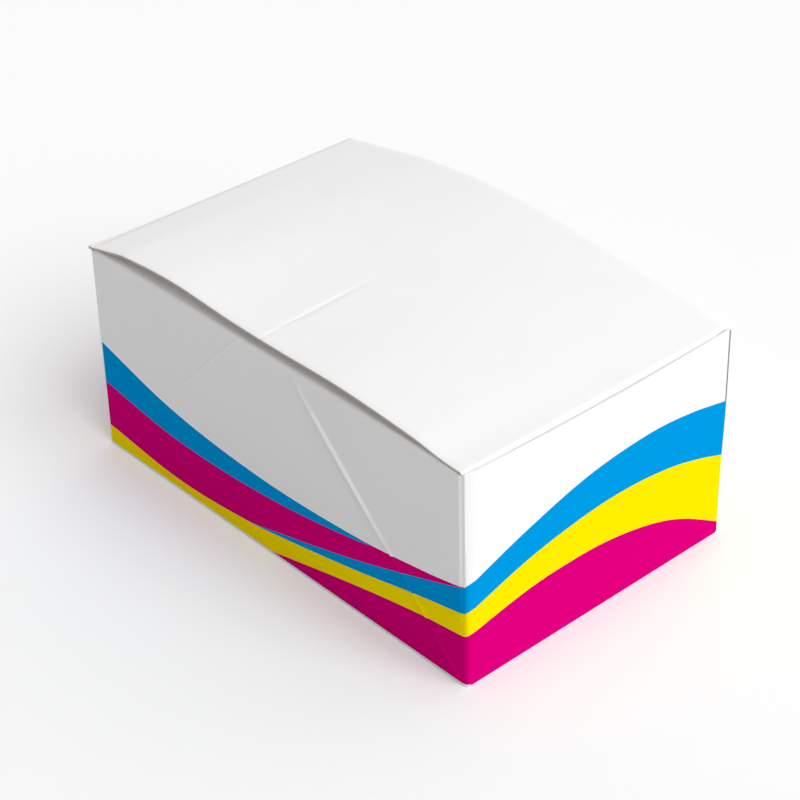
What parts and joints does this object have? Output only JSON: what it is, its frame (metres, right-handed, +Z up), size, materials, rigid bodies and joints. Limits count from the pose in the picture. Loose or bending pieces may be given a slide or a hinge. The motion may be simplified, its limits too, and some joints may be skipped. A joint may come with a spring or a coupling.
{
  "type": "counter display box",
  "caption": "Glued paperboard carton with a hinged, arched lid that tucks in behind the front panel, and wavy bands of colour printed round its lower walls.",
  "frame": {"origin": "middle of the base, on the surface that the box stands on", "axes": "+X towards the front panel where the lid tucks in, +Y towards the right long wall as seen from the front, +Z up"},
  "size_m": [0.2062, 0.1302, 0.1008],
  "materials": {
    "paperboard": "white coated board, satin",
    "ink_cyan": "cyan print on coated board",
    "ink_magenta": "magenta print on coated board",
    "ink_yellow": "yellow print on coated board"
  },
  "bodies": {
    "carton": {"carton": "paperboard", "print_left_upper_cyan": "ink_cyan", "print_left_upper_magenta": "ink_magenta", "print_left_lower_cyan": "ink_cyan", "print_left_yellow": "ink_yellow", "print_left_lower_magenta": "ink_magenta", "print_front_lower_cyan": "ink_cyan", "print_front_yellow": "ink_yellow", "print_front_lower_magenta": "ink_magenta", "print_right_upper_cyan": "ink_cyan", "print_right_upper_magenta": "ink_magenta", "print_right_lower_cyan": "ink_cyan", "print_right_yellow": "ink_yellow", "print_right_lower_magenta": "ink_magenta", "print_back_upper_cyan": "ink_cyan", "print_back_upper_magenta": "ink_magenta", "print_back_yellow": "ink_yellow"},
    "lid": {"lid": "paperboard"}
  },
  "joints": [
    {"name": "lid_hinge", "type": "hinge", "parent": "carton", "child": "lid", "pos_m": [-0.103, 0, 0.0891], "axis": [0, -1, 0], "range_deg": [0, 180]}
  ]
}
